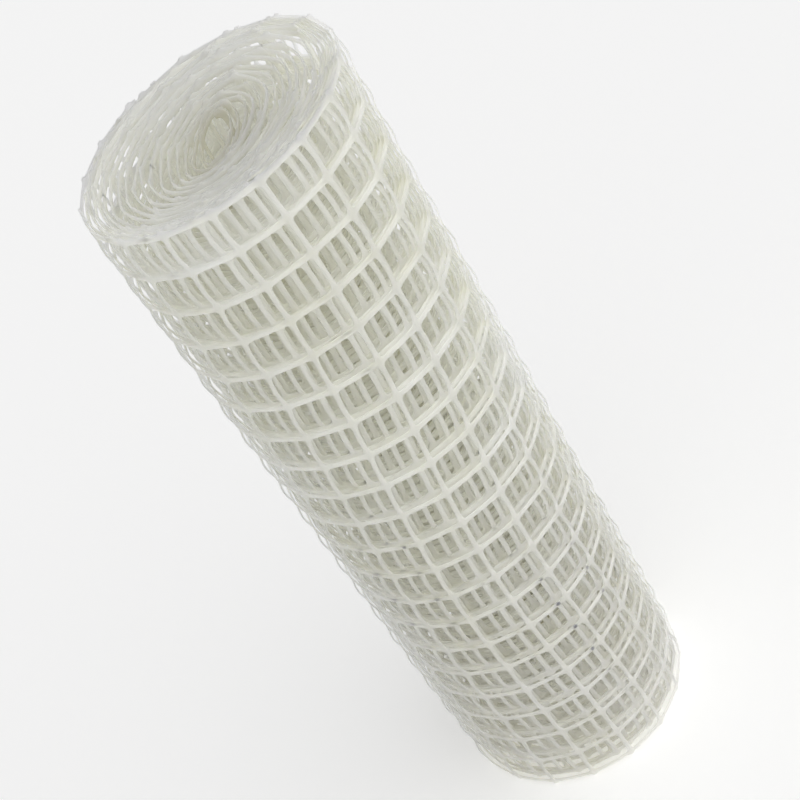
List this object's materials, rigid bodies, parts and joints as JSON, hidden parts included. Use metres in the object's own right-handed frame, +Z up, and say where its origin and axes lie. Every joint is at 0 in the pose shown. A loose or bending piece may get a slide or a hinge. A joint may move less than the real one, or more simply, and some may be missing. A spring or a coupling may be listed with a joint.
{
  "type": "roll of plastic netting",
  "caption": "Standing roll of off-white extruded square-mesh plastic netting, wound on itself around an open bore.",
  "frame": {"origin": "middle of the bottom end of the roll, on its axis", "axes": "+Z up along the roll's axis, which is the width of the net"},
  "size_m": [0.3199, 0.32, 1],
  "materials": {
    "netting": "off-white semi-translucent extruded polyethylene, satin"
  },
  "bodies": {
    "root": {"netting_roll": "netting"}
  },
  "joints": []
}
